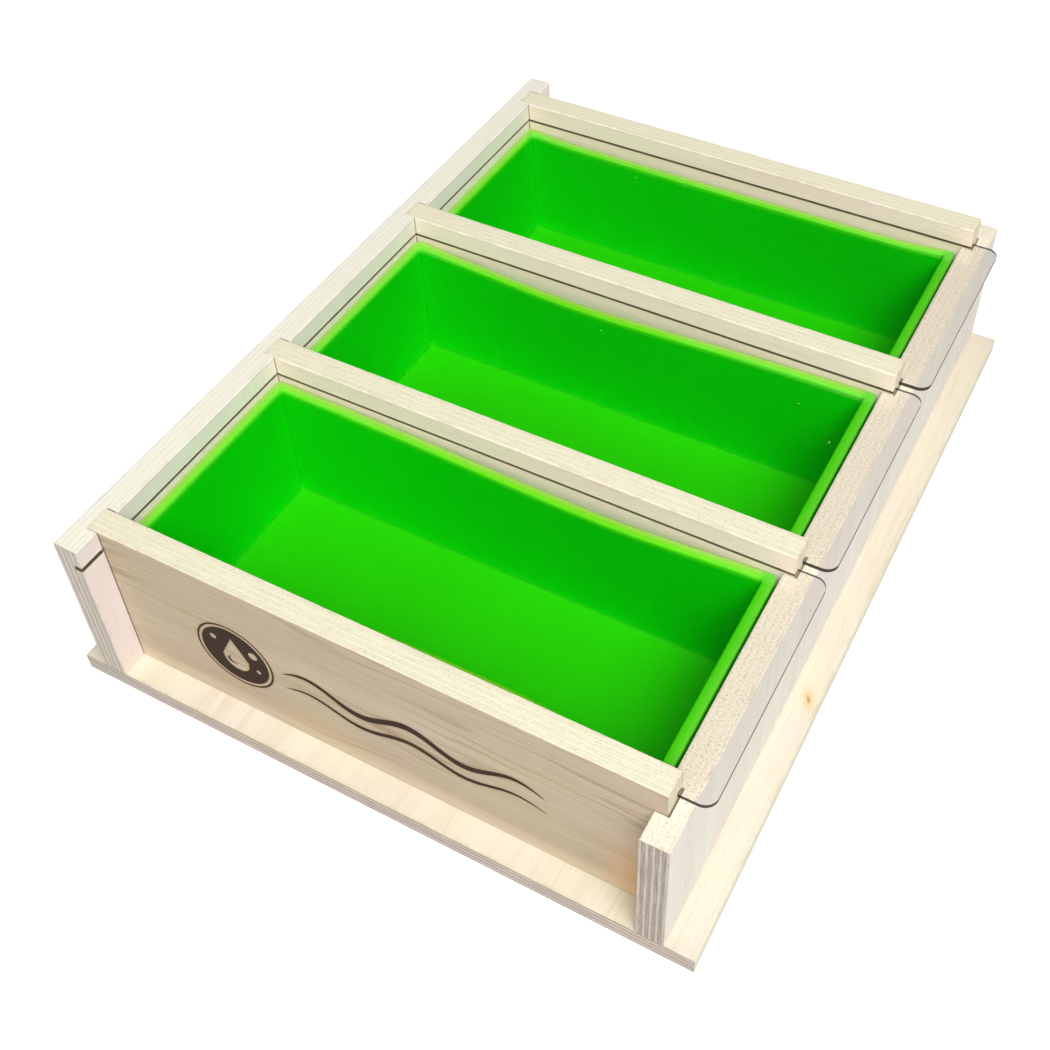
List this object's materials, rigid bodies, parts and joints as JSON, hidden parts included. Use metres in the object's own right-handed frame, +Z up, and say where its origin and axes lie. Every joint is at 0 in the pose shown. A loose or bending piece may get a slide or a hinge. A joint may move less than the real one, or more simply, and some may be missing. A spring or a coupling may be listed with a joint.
{
  "type": "soap loaf mould",
  "caption": "Long plywood case of side-by-side loaf bays, each with a soft silicone liner and a clear lid that slides out at one end.",
  "frame": {"origin": "centre of the base board's underside", "axes": "+X along the bays towards the end where the lids pull out, +Y from the marked front panel to the back, +Z up"},
  "size_m": [0.3, 0.3926, 0.093],
  "materials": {
    "plywood": "bare sanded birch plywood with plies showing at the edges",
    "silicone": "satin green silicone",
    "clear_acrylic": "polished clear sheet",
    "steel": "bright zinc"
  },
  "bodies": {
    "case": {"base_board": "plywood", "left_side": "plywood", "right_side": "plywood", "front_panel": "plywood", "divider_front": "plywood", "divider_rear": "plywood", "back_panel": "plywood", "liner_front": "silicone", "liner_middle": "silicone", "liner_rear": "silicone", "brads_left_front": "steel", "brads_left_divider_front": "steel", "brads_left_divider_rear": "steel", "brads_left_back": "steel", "brads_right_front": "steel", "brads_right_divider_front": "steel", "brads_right_divider_rear": "steel", "brads_right_back": "steel", "base_screws_left": "steel", "base_screws_right": "steel", "base_screws_front": "steel", "base_screws_divider_front": "steel", "base_screws_divider_rear": "steel", "base_screws_back": "steel"},
    "lid_front": {"lid_front": "clear_acrylic"},
    "lid_middle": {"lid_middle": "clear_acrylic"},
    "lid_rear": {"lid_rear": "clear_acrylic"}
  },
  "joints": [
    {"name": "lid_front_slide", "type": "slide", "parent": "case", "child": "lid_front", "axis": [1, 0, 0], "range_m": [0, 0.25]},
    {"name": "lid_middle_slide", "type": "slide", "parent": "case", "child": "lid_middle", "axis": [1, 0, 0], "range_m": [0, 0.25]},
    {"name": "lid_rear_slide", "type": "slide", "parent": "case", "child": "lid_rear", "axis": [1, 0, 0], "range_m": [0, 0.25]}
  ]
}
